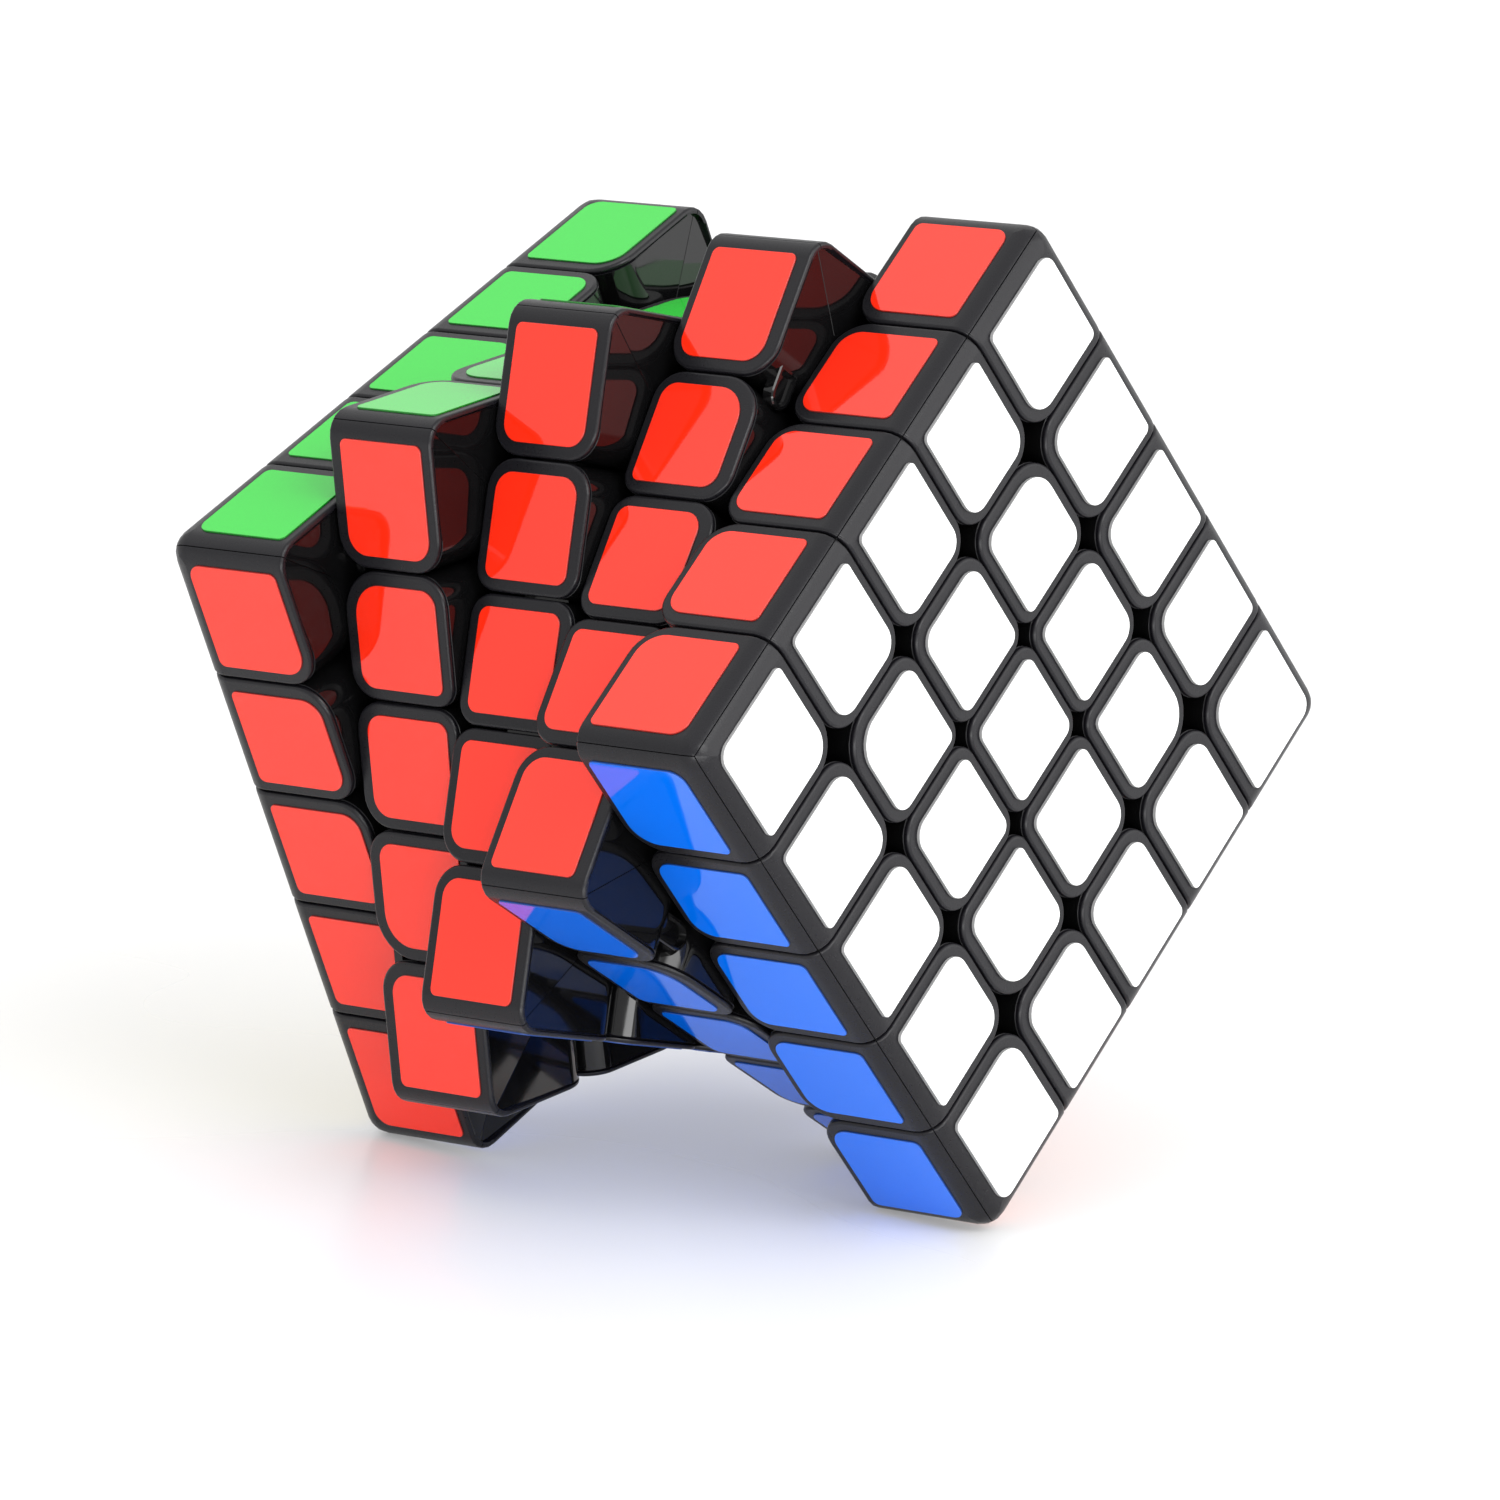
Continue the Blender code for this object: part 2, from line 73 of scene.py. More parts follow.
# Sticker corner radii: {place in the row and column: {number of outer cuts that cross there: radius}}
CORNER_RADII = {
    (2, 2): {2: 2.3},
    (1, 2): {2: 1.9, 1: 1.9},
    (0, 2): {1: 1.7},
    (1, 1): {2: 2.9, 1: 1.5, 0: 0.8},
    (0, 1): {1: 1.75, 0: 1.05},
    (0, 0): {0: 1.05},
}
RIM_CORNER, TIP_CORNER = 0.65, 1.4  # sticker corners at an edge and at a corner of the cube
MARGIN = 1.1  # how much larger the radii of the plastic are than the sticker's
STICKER_SINK, STICKER_EDGE = 0.05, 0.04  # its depth in the plastic, and the chamfer round its top

LUG_CENTRE, LUG_RADIUS = (16.95, 27.8), 1.3  # the catches on the edge cubies of the two slices
LUG_ROOT = 19.3  # where a catch ends, inside its cubie
LUG_STEPS = ((15.9, 0.0), (16.80, 0.0), (16.92, 0.12), (16.92, 0.36), (16.55, 0.42))  # (height, inset)
WEB_INSET, WEB_BAR = 3.2, (19.0, 27.6)  # bars that stand for the webs and feet deep in each layer
WEB_PLATE, WEB_PLATE_HALF = (21.5, 29.9), 0.1  # plates in the gaps near the edges of the outer layers

SIDES = ("green", "red", "blue", "orange")  # at +Z, -Y, -Z and +Y
LAYERS = {  # body: place along the twist axis
    "white_layer": 2,
    "white_slice": 1,
    "core_and_middle_layer": 0,
    "yellow_slice": -1,
    "yellow_layer": -2,
}
LAYER_WORDS = {2: "white", 1: "white_slice", 0: "middle", -1: "yellow_slice", -2: "yellow"}
FACE_WORDS = (("yellow", "white"), ("red", "orange"), ("blue", "green"))  # low and high end of X, Y, Z

STICKER_COLOURS = {
    "white": (0.93, 0.93, 0.93),
    "red": (0.90, 0.022, 0.005),
    "blue": (0.0, 0.145, 0.79),
    "green": (0.004, 0.56, 0.022),
    "orange": (0.95, 0.17, 0.005),
    "yellow": (0.93, 0.72, 0.01),
}

# ---- camera and light, in metres ---------------------------------------------------------------------

CAMERA_TARGET = (0.00112, -0.00038, 0.0365)
CAMERA_DISTANCE, CAMERA_AZIMUTH, CAMERA_ELEVATION, CAMERA_ROLL = 0.8439, -39.38, 12.78, 1.37
LENS, SENSOR = 234.6, 36.0
EVEN_GLOW = 0.92
GLOWS = (  # (direction, half-angle where it ends, half-angle where it is full, strength)
    ((0.0, 0.0, 1.0), 80.0, 20.0, 0.3),
    ((0.66, -0.18, 0.52), 22.0, 10.0, 6.0),
    ((0.82, 0.50, 0.30), 36.0, 12.0, 2.0),
)
PANEL_PLACE, PANEL_SIZE, PANEL_ENERGY = (0.235, -0.185, 0.032), (0.40, 0.05), 0.5
FLOOR_RADIUS, FLOOR_GLOW = 3.0, 0.22


# ---- materials ---------------------------------------------------------------------------------------


def new_material(name):
    material = bpy.data.materials.new(name)
    material.use_nodes = True
    return material, material.node_tree.nodes, material.node_tree.links


def noise(nodes, links, scale, detail=2.0, roughness=0.5):
    place = nodes.new("ShaderNodeTexCoord")
    texture = nodes.new("ShaderNodeTexNoise")
    texture.inputs["Scale"].default_value = scale
    texture.inputs["Detail"].default_value = detail
    texture.inputs["Roughness"].default_value = roughness
    links.new(place.outputs["Object"], texture.inputs["Vector"])
    return texture.outputs["Fac"]


def spread(nodes, links, value, low, high):
    """Maps a texture's middle range to low..high."""
    span = nodes.new("ShaderNodeMapRange")
    span.inputs["From Min"].default_value = 0.3
    span.inputs["From Max"].default_value = 0.7
    span.inputs["To Min"].default_value = low
    span.inputs["To Max"].default_value = high
    links.new(value, span.inputs["Value"])
    return span.outputs["Result"]


def mix_colours(nodes, links, value, first, second):
    mix = nodes.new("ShaderNodeMix")
    mix.data_type = "RGBA"
    mix.inputs["A"].default_value = (*first, 1.0)
    mix.inputs["B"].default_value = (*second, 1.0)
    links.new(value, mix.inputs["Factor"])
    return mix.outputs["Result"]


def bump(nodes, links, height, strength, distance, below=None):
    node = nodes.new("ShaderNodeBump")
    node.inputs["Strength"].default_value = strength
    node.inputs["Distance"].default_value = distance
    links.new(height, node.inputs["Height"])
    if below is not None:
        links.new(below, node.inputs["Normal"])
    return node.outputs["Normal"]


def satin_plastic():
    """Black plastic with a fine spark-eroded grain."""
    material, nodes, links = new_material("satin_black_plastic")
    shader = nodes["Principled BSDF"]
    blotch = noise(nodes, links, 60.0, 3.0)
    grain = noise(nodes, links, 5200.0, 2.0, 0.6)
    links.new(mix_colours(nodes, links, blotch, (0.0042, 0.0040, 0.0054), (0.0082, 0.0078, 0.0100)),
              shader.inputs["Base Color"])
    links.new(spread(nodes, links, grain, 0.26, 0.38), shader.inputs["Roughness"])
    links.new(bump(nodes, links, grain, 0.5, 0.00002), shader.inputs["Normal"])
    shader.inputs["IOR"].default_value = 1.36
    return material


def gloss_plastic():
    """The same plastic where the mould was polished: the walls between cubies."""
    material, nodes, links = new_material("gloss_black_plastic")
    shader = nodes["Principled BSDF"]
    wave = noise(nodes, links, 130.0, 1.0)
    smudge = noise(nodes, links, 420.0, 3.0)
    links.new(mix_colours(nodes, links, smudge, (0.0022, 0.0022, 0.0024), (0.0038, 0.0038, 0.0041)),
              shader.inputs["Base Color"])
    links.new(spread(nodes, links, smudge, 0.04, 0.08), shader.inputs["Roughness"])
    links.new(bump(nodes, links, wave, 0.3, 0.00002), shader.inputs["Normal"])
    shader.inputs["IOR"].default_value = 1.42
    return material


def sticker_vinyl(name, colour, edge=False):
    """Glossy vinyl with a faint ripple. The cut edge of a sticker is darker and duller, partly for the
    print's edge and partly as painted shade of the sticker's side in shadow.
    """
    material, nodes, links = new_material(f"sticker_{name}_edge" if edge else f"sticker_{name}")
    shader = nodes["Principled BSDF"]
    # painted shade: the edge copy is 0.35 as bright, partly the print's edge and partly shade painted onto
    # the sticker's side
    edge_print_and_shade = 0.35 if edge else 1.0
    ripple = noise(nodes, links, 210.0, 1.0)
    print_grain = noise(nodes, links, 2600.0, 2.0)
    first = tuple(channel * edge_print_and_shade for channel in colour)
    second = tuple(channel * edge_print_and_shade * 0.965 for channel in colour)
    links.new(mix_colours(nodes, links, print_grain, first, second), shader.inputs["Base Color"])
    low, high = (0.35, 0.45) if edge else (0.035, 0.065)
    links.new(spread(nodes, links, print_grain, low, high), shader.inputs["Roughness"])
    links.new(bump(nodes, links, ripple, 0.25, 0.00001), shader.inputs["Normal"])
    shader.inputs["IOR"].default_value = 1.56
    return material


def core_plastic():
    material, nodes, links = new_material("core_nylon")
    shader = nodes["Principled BSDF"]
    grain = noise(nodes, links, 3000.0, 3.0)
    links.new(mix_colours(nodes, links, grain, (0.05, 0.051, 0.055), (0.075, 0.076, 0.08)),
              shader.inputs["Base Color"])
    links.new(spread(nodes, links, grain, 0.42, 0.60), shader.inputs["Roughness"])
    links.new(bump(nodes, links, grain, 0.3, 0.00003), shader.inputs["Normal"])
    return material


def steel(name, colour, low, high, grain_scale):
    material, nodes, links = new_material(name)
    shader = nodes["Principled BSDF"]
    grain = noise(nodes, links, grain_scale, 3.0)
    darker = tuple(channel * 0.8 for channel in colour)
    links.new(mix_colours(nodes, links, grain, darker, colour), shader.inputs["Base Color"])
    links.new(spread(nodes, links, grain, low, high), shader.inputs["Roughness"])
    links.new(bump(nodes, links, grain, 0.2, 0.00001), shader.inputs["Normal"])
    shader.inputs["Metallic"].default_value = 1.0
    return material


def floor_material():
    """A white sheet of acrylic, faintly lit from below."""
    material, nodes, links = new_material("floor_acrylic")
    shader = nodes["Principled BSDF"]
    mottle = noise(nodes, links, 9.0, 2.0)
    links.new(mix_colours(nodes, links, mottle, (0.615, 0.615, 0.62), (0.63, 0.63, 0.635)),
              shader.inputs["Base Color"])
    links.new(spread(nodes, links, mottle, 0.24, 0.30), shader.inputs["Roughness"])
    shader.inputs["Emission Color"].default_value = (1.0, 1.0, 1.0, 1.0)
    shader.inputs["Emission Strength"].default_value = FLOOR_GLOW
    shader.inputs["IOR"].default_value = 1.2
    return material


# ---- cubies ------------------------------------------------------------------------------------------


def cell(i):
    """(low, high) of cubie i along any axis, for i from 0, the middle one, to 2."""
    edges = (-CUTS[0], CUTS[0], CUTS[1], HALF + GAP / 2)
    return edges[i] + GAP / 2, edges[i + 1] - GAP / 2


def corner_radius(index, face, corner):
    """Radius of a sticker's corner where two cuts cross, or None at an edge of the cube.
    index is the cubie's place, face the axis of its face, and corner its two in-plane coordinates."""
    others = [axis for axis in range(3) if axis != face]
    places = tuple(sorted(index[axis] for axis in others))
    outer_cuts = 0
    for axis, value in zip(others, corner):
        if index[axis] == 2 and value > CUTS[1] + GAP:
            return None
        outer_cuts += abs(abs(value) - CUTS[1]) < GAP
    return CORNER_RADII[places][outer_cuts]


def is_skin(face, index):
    """True for a face on the outside of the puzzle: it looks only along the axes that the cubie ends on."""
    return all(
        face.normal[axis] > -SLACK if index[axis] == 2 else abs(face.normal[axis]) < SLACK
        for axis in range(3)
    )


def round_plan(bm, index):
    """Rounds the edges of the cubie that run down from where cuts cross."""
    wanted = {}
    for axis in range(3):
        if index[axis] != 2:
            continue
        others = [other for other in range(3) if other != axis]
        for edge in bm.edges:
            first, second = (vertex.co for vertex in edge.verts)
            if any(abs(first[other] - second[other]) > SLACK for other in others):
                continue
            radius = corner_radius(index, axis, [first[other] for other in others])
            if radius is not None:
                wanted.setdefault(radius, []).append(edge)
    for radius, edges in wanted.items():
        bmesh.ops.bevel(
            bm,
            geom=edges,
            offset=radius + MARGIN,
            segments=ARC_STEPS,
            profile=0.5,
            affect="EDGES",
        )


def round_outside(bm, index):
    """Rounds the edges that lie on an edge of the cube."""
    outer = [axis for axis in range(3) if index[axis] == 2]
    edges = [
        edge
        for edge in bm.edges
        if sum(all(abs(v.co[axis] - HALF) < SLACK for v in edge.verts) for axis in outer) == 2
    ]
    if edges:
        bmesh.ops.bevel(
            bm, geom=edges, offset=EDGE_ROUND, segments=ROUND_STEPS, profile=0.5, affect="EDGES"
        )


def round_rim(bm, index):
    """Rounds the one loop where the outside turns down into the side walls, and returns the walls."""
    bm.normal_update()
    skin = {face for face in bm.faces if is_skin(face, index)}
    loop = [edge for edge in bm.edges if sum(face in skin for face in edge.link_faces) == 1]
    bmesh.ops.bevel(
        bm, geom=loop, offset=RIM_ROUND, segments=RIM_STEPS, profile=0.5, affect="EDGES"
    )
    bm.normal_update()
    outer = [axis for axis in range(3) if index[axis] == 2]
    return [face for face in bm.faces if all(face.normal[axis] < SLACK for axis in outer)]


def cut_seam(bm, walls):
    """Cuts the seam between cap and body round the walls, just under the rim."""
    sunk = []
    for down, depth in SEAM:
        bmesh.ops.inset_region(bm, faces=walls, thickness=down, use_even_offset=True)
        region = set(walls)
        rim = {
            vertex
            for face in walls
            for vertex in face.verts
            if any(other not in region for other in vertex.link_faces)
        }
        sunk.append((rim, depth))
    bm.normal_update()
    moves = [(vertex, vertex.normal * depth) for rim, depth in sunk for vertex in rim if depth]
    for vertex, move in moves:
        vertex.co -= move


def cut_parting(bm, index):
    """Cuts the fine line along the middle of each rounded edge and on down the walls at 45 degrees."""
    outer = [axis for axis in range(3) if index[axis] == 2]
    pairs = [(a, b) for a in outer for b in outer if a < b]
    for a, b in pairs:
        normal = Vector((0, 0, 0))
        normal[a], normal[b] = 1.0, -1.0
        normal.normalize()
        for offset in (-PARTING_HALF, 0.0, PARTING_HALF):
            bmesh.ops.bisect_plane(
                bm,
                geom=bm.verts[:] + bm.edges[:] + bm.faces[:],
                dist=SLACK / 10,
                plane_co=normal * offset,
                plane_no=normal,
            )
    bm.normal_update()
    moves = {}
    for a, b in pairs:
        (other,) = {0, 1, 2} - {a, b}
        for vertex in bm.verts:
            on_line = abs(vertex.co[a] - vertex.co[b]) < SLACK
            near_edge = vertex.co[a] > CUTS[1] + GAP and vertex.co[a] > vertex.co[other] - SLACK
            if on_line and near_edge:
                on_wall = all(face.material_index == 1 for face in vertex.link_faces)
                moves[vertex] = vertex.normal * (PARTING_ON_WALL if on_wall else PARTING_DEPTH)
    for vertex, move in moves.items():
        vertex.co -= move


def add_lug(bm, swap):
    """A half-round catch with a raised lip, which reaches out of the wall of a slice's edge cubie."""
    loops = []
    for height, inset in LUG_STEPS:
        radius = LUG_RADIUS - inset
        centre_u, centre_v = LUG_CENTRE
        points = [(LUG_ROOT - inset, centre_v + radius)]
        for step in range(2 * ARC_STEPS + 1):
            angle = math.pi * (0.5 + step / (2 * ARC_STEPS))
            points.append((centre_u + radius * math.cos(angle), centre_v + radius * math.sin(angle)))
        points.append((LUG_ROOT - inset, centre_v - radius))
        loops.append([bm.verts.new((height, v, u) if swap else (height, u, v)) for u, v in points])
    count = len(loops[0])
    made = [bm.faces.new(loops[0]), bm.faces.new(loops[-1])]
    for lower, upper in zip(loops, loops[1:]):
        for k in range(count):
            made.append(bm.faces.new((lower[k], lower[(k + 1) % count], upper[(k + 1) % count], upper[k])))
    for face in made:
        face.material_index = 1


def add_block(bm, *spans):
    """A box between the (low, high) ends given for X, Y and Z."""
    low, high = (Vector(ends) for ends in zip(*spans))
    place = Matrix.Translation((low + high) / 2) @ Matrix.Diagonal((*(high - low), 1.0))
    bmesh.ops.create_cube(bm, size=1.0, matrix=place)


def to_mesh(bm, name):
    mesh = bpy.data.meshes.new(name)
    bm.to_mesh(mesh)
    bm.free()
    return mesh


def cubie_prototype(index, lugs):
    """The mesh of the cubie at a place whose three numbers are 0, 1 or 2, at least one of them 2."""
    bm = bmesh.new()
    add_block(bm, *(cell(i) for i in index))
    round_plan(bm, index)
    round_outside(bm, index)
    walls = round_rim(bm, index)
    cut_seam(bm, walls)
    for face in walls:
        face.material_index = 1
    cut_parting(bm, index)
    if lugs:
        add_lug(bm, swap=False)
        add_lug(bm, swap=True)
    for face in bm.faces:
        face.smooth = True
    bmesh.ops.recalc_face_normals(bm, faces=bm.faces)
    mesh = to_mesh(bm, "cubie")
    mesh.set_sharp_from_angle(angle=SHARP_ANGLE)
    return mesh


def rotations():
    """The 24 turns that take a cube into itself."""
    quarters = [Matrix.Rotation(k * math.pi / 2, 4, "X") for k in range(4)]
    tips = [Matrix.Rotation(k * math.pi / 2, 4, "Y") for k in range(4)]
    tips += [Matrix.Rotation(sign * math.pi / 2, 4, "Z") for sign in (1, -1)]
    return [tip @ turn for tip in tips for turn in quarters]


def turn_to(prototype, place):
    """The turn that takes the prototype's place in the cube to the wanted one."""
    for turn in rotations():
        if tuple(round(value) for value in turn @ Vector(prototype)) == place:
            return turn
    raise ValueError(place)


def weighted_normals(obj):
    modifier = obj.modifiers.new("flat faces stay flat", "WEIGHTED_NORMAL")
    modifier.keep_sharp = True
    modifier.weight = 80


# ---- stickers ----------------------------------------------------------------------------------------


def arc(centre, radius, start):
    """Points of a quarter circle from the start angle, anticlockwise."""
    return [
        centre + radius * Vector((math.cos(start + turn), math.sin(start + turn)))
        for turn in (math.pi / 2 * step / ARC_STEPS for step in range(ARC_STEPS + 1))
    ]


def outline(u, v, radii):
    """A rectangle with rounded corners, anticlockwise from the corner at high u and high v."""
    corners = ((u[1], v[1], -1, -1), (u[0], v[1], 1, -1), (u[0], v[0], 1, 1), (u[1], v[0], -1, 1))
    points = []
    for k, ((x, y, inward_x, inward_y), radius) in enumerate(zip(corners, radii)):
        centre = Vector((x + inward_x * radius, y + inward_y * radius))
        points += arc(centre, radius, k * math.pi / 2)
    return points


def span(i, spans):
    low, high = spans[abs(i)]
    return (-high, -low) if i < 0 else (low, high)


def sticker_radii(i, j):
    """Corner radii of the sticker at column i and row j of a face, in the order that outline takes them."""
    radii = []
    for sign_u, sign_v in ((1, 1), (-1, 1), (-1, -1), (1, -1)):
        at_edge_u, at_edge_v = sign_u * i == 2, sign_v * j == 2
        if at_edge_u and at_edge_v:
            radii.append(TIP_CORNER)
        elif at_edge_u or at_edge_v:
            radii.append(RIM_CORNER)
        else:
            outer_cuts = sum(abs(2 * place + sign) >= 3 for place, sign in ((i, sign_u), (j, sign_v)))
            radii.append(CORNER_RADII[tuple(sorted((abs(i), abs(j))))][outer_cuts])
    return radii


def add_sticker(bm, i, j, spans_u, top, turn):
    """A thin plate with a soft edge on the +Z face, turned to its own face of the cube."""
    radii = sticker_radii(i, j)
    u, v = span(i, spans_u), span(j, ACROSS)
    loops = []
    for inset, height in ((0.0, HALF - STICKER_SINK), (0.0, top - STICKER_EDGE), (STICKER_EDGE, top)):
        shape = outline(
            (u[0] + inset, u[1] - inset), (v[0] + inset, v[1] - inset), [radius - inset for radius in radii]
        )
        loops.append([bm.verts.new(turn @ Vector((*point, height))) for point in shape])
    count = len(loops[0])
    for lower, upper in zip(loops, loops[1:]):
        for k in range(count):
            face = bm.faces.new((lower[k], lower[(k + 1) % count], upper[(k + 1) % count], upper[k]))
            # the sides take the darker edge material: partly the print's edge, partly painted shade of the
            # side in shadow
            face.material_index = 1
            face.smooth = True
    bm.faces.new(loops[-1])
    bm.faces.new(reversed(loops[0]))


# ---- putting it on the frame -------------------------------------------------------------------------


def outward(node, centre, axis):
    """The way a node's side of the cube looks: the normal of its faces that look away from the axis."""
    points = [vertex.co for vertex in node.data.vertices]
    rough = sum(points, Vector()) / len(points) - centre
    rough = (rough - axis * rough.dot(axis)).normalized()
    facing = [face for face in node.data.polygons if face.normal.dot(rough) > 0.98]
    return sum((face.normal * face.area for face in facing), Vector()).normalized()


def layer_frame(place):
    """The matrix from a layer's own millimetres to the row frame."""
    joint = frame["joints"][0]
    centre, axis = Vector(joint["pos_m"]), Vector(joint["axis"]).normalized()
    word = LAYER_WORDS[place]
    node = frame["nodes"][f"{word}_green_edges" if abs(place) == 2 else f"{word}_green_centres"]
    green = outward(node, centre, axis)
    green = (green - axis * green.dot(axis)).normalized()
    turn = Matrix((axis, green.cross(axis), green)).transposed().to_4x4()
    return Matrix.Translation(centre) @ turn @ Matrix.Scale(MM, 4)


def pair(j, k):
    """The two sides that meet at the corner of a layer, in the order that the nodes' names have them."""
    first = SIDES.index("green" if k > 0 else "blue")
    second = SIDES.index("orange" if j > 0 else "red")
    if (second - first) % 4 != 1:
        first, second = second, first
    return f"{SIDES[first]}_{SIDES[second]}"


def nodes_of(place):
    """The CAD nodes that the cubie at a place stands for."""
    i, j, k = place
    word = LAYER_WORDS[i]
    if abs(j) == 2 and abs(k) == 2:
        return [f"{word}_{pair(j, k)}_{'corner' if abs(i) == 2 else 'edge'}"]
    if abs(j) == 2 or abs(k) == 2:
        side = ("orange" if j > 0 else "red") if abs(j) == 2 else ("green" if k > 0 else "blue")
        return [f"{word}_{side}_{'edges' if abs(i) == 2 else 'centres'}"]
    if (j, k) == (0, 0):
        return [f"{word}_centre_cap", f"{word}_fixed_centre"]
    return [f"{word}_face_centres"]


def cubie_name(place):
    ends = {2: [], 1: []}
    for words, value in zip(FACE_WORDS, place):
        if value:
            ends[abs(value)].append(words[value > 0])
    kind = {3: "corner", 2: "edge", 1: "centre"}[len(ends[2])]
    near = ["near"] + ends[1] if ends[1] else []
    return "_".join(ends[2] + [kind] + near + ["cubie"])


def link(name, mesh, materials):
    mesh.name = name
    for material in materials:
        mesh.materials.append(material)
    obj = bpy.data.objects.new(name, mesh)
    bpy.context.scene.collection.objects.link(obj)
    weighted_normals(obj)
    return obj


def build_cubies(frames, satin, gloss):
    prototypes = {}
    row = range(-2, 3)
    places = [(i, j, k) for i in row for j in row for k in row if 2 in (abs(i), abs(j), abs(k))]
    for place in places:
        kind = tuple(sorted(abs(value) for value in place))
        lugs = tuple(abs(value) for value in place) == (1, 2, 2)
        if (kind, lugs) not in prototypes:
            prototypes[kind, lugs] = cubie_prototype(kind, lugs)
        mesh = prototypes[kind, lugs].copy()
        body = next(name for name, i in LAYERS.items() if i == place[0])
        mesh.transform(frames[body] @ turn_to(kind, place))
        obj = link(cubie_name(place), mesh, (satin, gloss))
        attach(obj, body)
        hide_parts(*nodes_of(place))
    for mesh in prototypes.values():
        bpy.data.meshes.remove(mesh)


def build_webs(frames, gloss):
    """Bars deep in each layer, where webs and feet close the gaps between the cubies.
    In the two outer layers, plates in the gaps carry them on towards the edges of the cube."""
    near, far = WEB_BAR
    for body, i in LAYERS.items():
        bm = bmesh.new()
        low, high = cell(abs(i))
        depth = (low + WEB_INSET, high - WEB_INSET)
        for side in (-1, 1):
            across = sorted((side * near, side * far))
            add_block(bm, depth, across, (-far, far))
            add_block(bm, depth, (-near, near), across)
            if abs(i) == 2:
                edge = sorted(side * end for end in WEB_PLATE)
                for cut in (-CUTS[1], -CUTS[0], CUTS[0], CUTS[1]):
                    gap = (cut - WEB_PLATE_HALF, cut + WEB_PLATE_HALF)
                    add_block(bm, WEB_PLATE, gap, edge)
                    add_block(bm, WEB_PLATE, edge, gap)
        if i < 0:
            bmesh.ops.scale(bm, vec=(-1, 1, 1), verts=bm.verts)
        bmesh.ops.recalc_face_normals(bm, faces=bm.faces)
        mesh = to_mesh(bm, "webs")
        mesh.transform(frames[body])
        obj = link(f"{LAYER_WORDS[i]}_webs", mesh, (gloss,))
        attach(obj, body)


def build_stickers(frames):
    vinyl = {name: (sticker_vinyl(name, colour), sticker_vinyl(name, colour, True))
             for name, colour in STICKER_COLOURS.items()}
    row = range(-2, 3)
    groups = []
    for body, i in LAYERS.items():
        for k, side in enumerate(SIDES):
            turn = Matrix.Rotation(k * math.pi / 2, 3, "X")
            groups.append((body, side, [(i, j, ALONG_AXIS, SIDE_TOP, turn) for j in row]))
    for body, face, sign in (("white_layer", "white", 1), ("yellow_layer", "yellow", -1)):
        turn = Matrix.Rotation(sign * math.pi / 2, 3, "Y")
        groups.append((body, face, [(i, j, ACROSS, END_TOP, turn) for i in row for j in row]))
    for body, face, stickers in groups:
        bm = bmesh.new()
        for sticker in stickers:
            add_sticker(bm, *sticker)
        mesh = to_mesh(bm, "stickers")
        mesh.transform(frames[body])
        mesh.set_sharp_from_angle(angle=SHARP_ANGLE)
        obj = link(f"{LAYER_WORDS[LAYERS[body]]}_{face}_stickers", mesh, vinyl[face])
        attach(obj, body)


def finish_inner_parts():
    """Materials of the parts that are kept from the CAD model: the core, its screws and its springs."""
    finishes = {
        "core": core_plastic(),
        "screw": steel("screw_steel_finish", (0.46, 0.45, 0.44), 0.22, 0.36, 900.0),
        "spring": steel("spring_steel_finish", (0.60, 0.60, 0.61), 0.15, 0.28, 1500.0),
    }
    for name, node in frame["nodes"].items():
        for ending, material in finishes.items():
            if name.endswith(ending):
                node.data.materials.clear()
                node.data.materials.append(material)


# ---- floor, light and camera -------------------------------------------------------------------------


def build_floor():
    bpy.ops.mesh.primitive_circle_add(vertices=128, radius=FLOOR_RADIUS, fill_type="NGON")
    floor = bpy.context.object
    floor.name = "floor"
    floor.data.materials.append(floor_material())


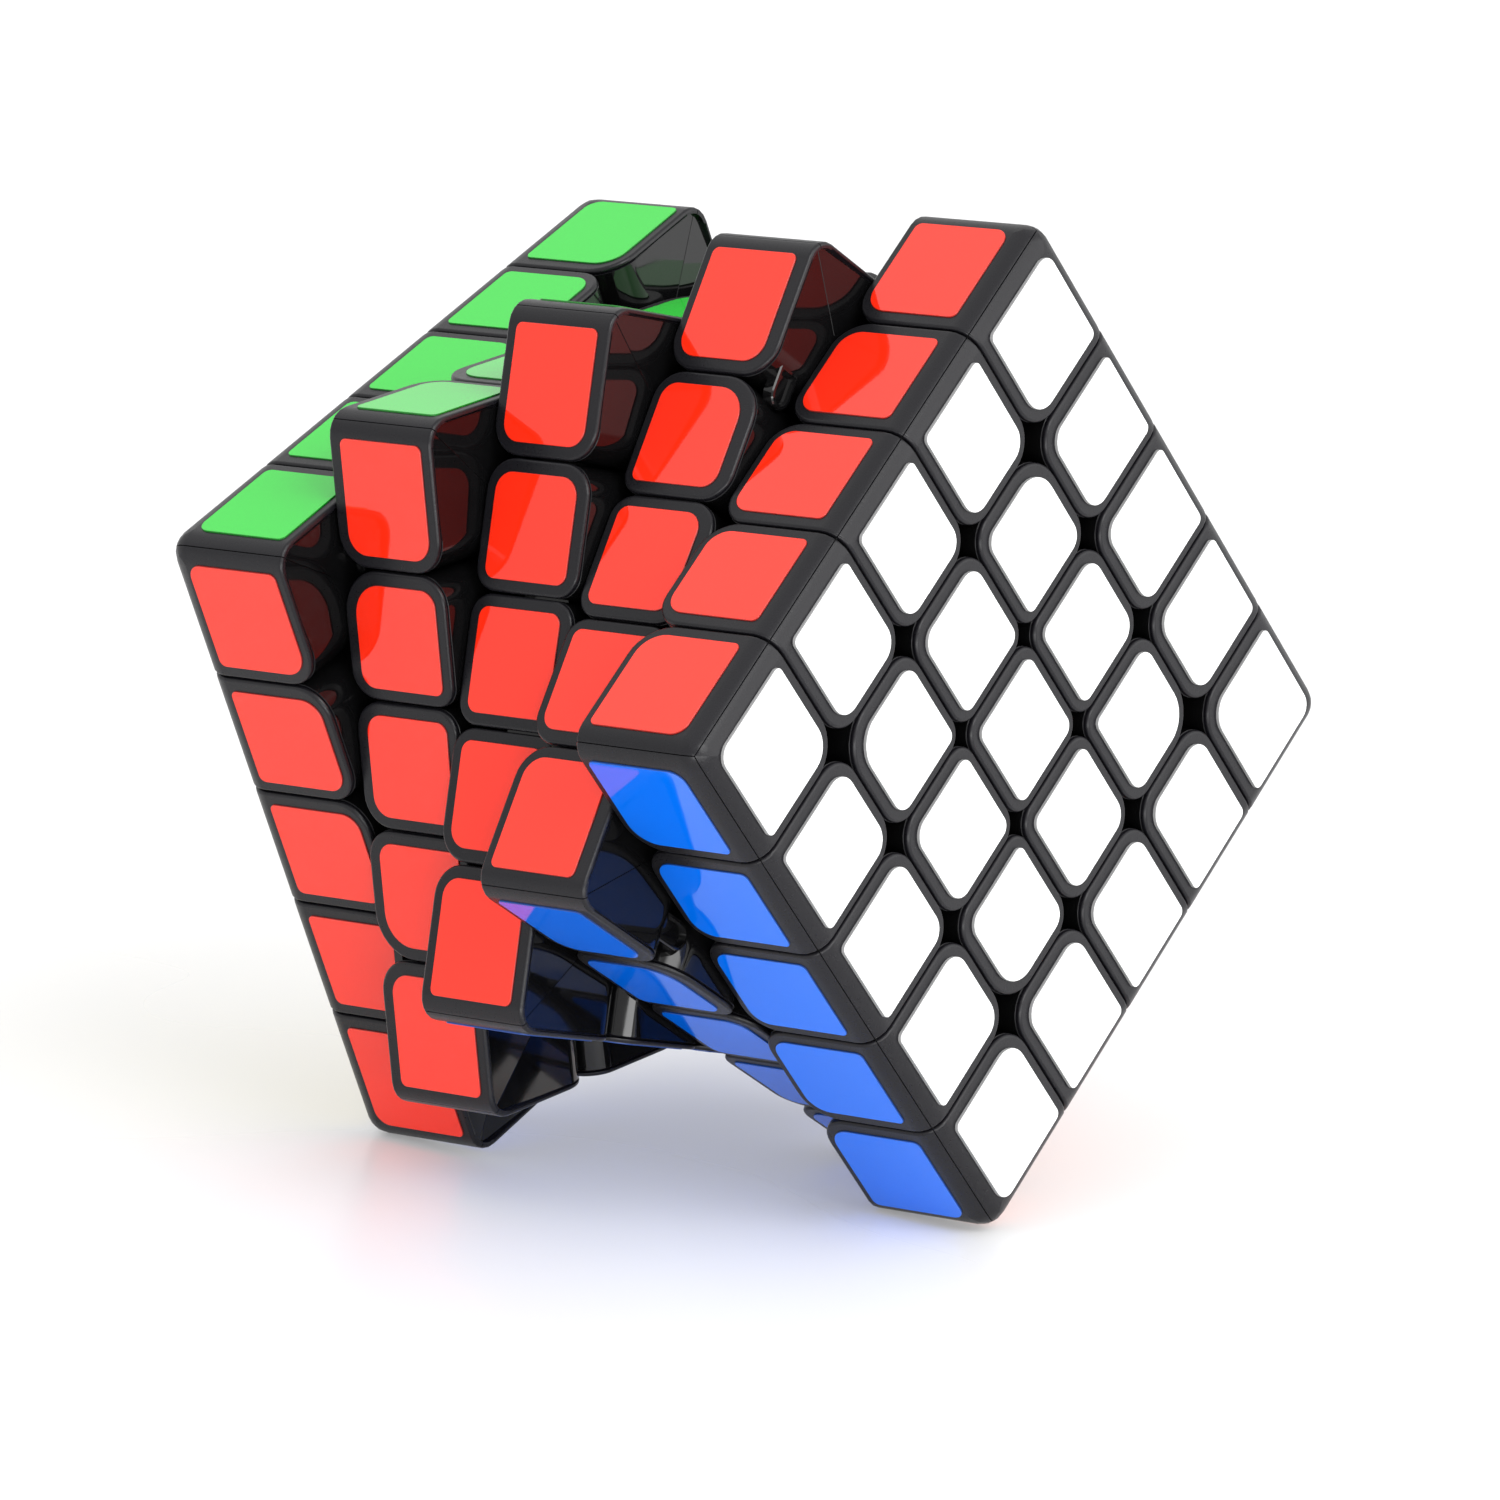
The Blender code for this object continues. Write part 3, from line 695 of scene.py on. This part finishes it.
def build_light():
    """A dome with an even glow and broad brighter patches, and a low panel in front of the puzzle."""
    world = bpy.data.worlds.new("studio")
    world.use_nodes = True
    nodes, links = world.node_tree.nodes, world.node_tree.links
    direction = nodes.new("ShaderNodeTexCoord").outputs["Generated"]
    even = nodes.new("ShaderNodeValue")
    even.outputs["Value"].default_value = EVEN_GLOW
    total = even.outputs["Value"]
    for towards, outer, inner, strength in GLOWS:
        closeness = nodes.new("ShaderNodeVectorMath")
        closeness.operation = "DOT_PRODUCT"
        closeness.inputs[1].default_value = Vector(towards).normalized()
        links.new(direction, closeness.inputs[0])
        patch = nodes.new("ShaderNodeMapRange")
        patch.interpolation_type = "SMOOTHSTEP"
        patch.inputs["From Min"].default_value = math.cos(math.radians(outer))
        patch.inputs["From Max"].default_value = math.cos(math.radians(inner))
        patch.inputs["To Max"].default_value = strength
        links.new(closeness.outputs["Value"], patch.inputs["Value"])
        add = nodes.new("ShaderNodeMath")
        links.new(patch.outputs["Result"], add.inputs[0])
        links.new(total, add.inputs[1])
        total = add.outputs["Value"]
    links.new(total, nodes["Background"].inputs["Strength"])
    nodes["Background"].inputs["Color"].default_value = (1.0, 1.0, 1.0, 1.0)
    bpy.context.scene.world = world

    data = bpy.data.lights.new("low_panel", "AREA")
    data.shape = "RECTANGLE"
    data.size, data.size_y = PANEL_SIZE
    data.energy = PANEL_ENERGY
    panel = bpy.data.objects.new("low_panel", data)
    panel.location = PANEL_PLACE
    facing = Vector(CAMERA_TARGET) - Vector(PANEL_PLACE)
    panel.rotation_euler = facing.to_track_quat("-Z", "Y").to_euler()
    bpy.context.scene.collection.objects.link(panel)


def build_camera():
    data = bpy.data.cameras.new("camera")
    data.lens = LENS
    data.sensor_width = SENSOR
    camera = bpy.data.objects.new("camera", data)
    bpy.context.scene.collection.objects.link(camera)
    turn = (
        Matrix.Rotation(math.radians(-CAMERA_AZIMUTH), 4, "Z")
        @ Matrix.Rotation(math.radians(90 - CAMERA_ELEVATION), 4, "X")
        @ Matrix.Rotation(math.radians(CAMERA_ROLL), 4, "Z")
    )
    camera.matrix_world = (
        Matrix.Translation(CAMERA_TARGET) @ turn @ Matrix.Translation((0, 0, CAMERA_DISTANCE))
    )
    bpy.context.scene.camera = camera


bpy.context.scene.view_settings.view_transform = "Standard"
frames = {body: layer_frame(place) for body, place in LAYERS.items()}
build_camera()
build_floor()
build_light()
satin, gloss = satin_plastic(), gloss_plastic()
build_cubies(frames, satin, gloss)
build_webs(frames, gloss)
build_stickers(frames)
finish_inner_parts()
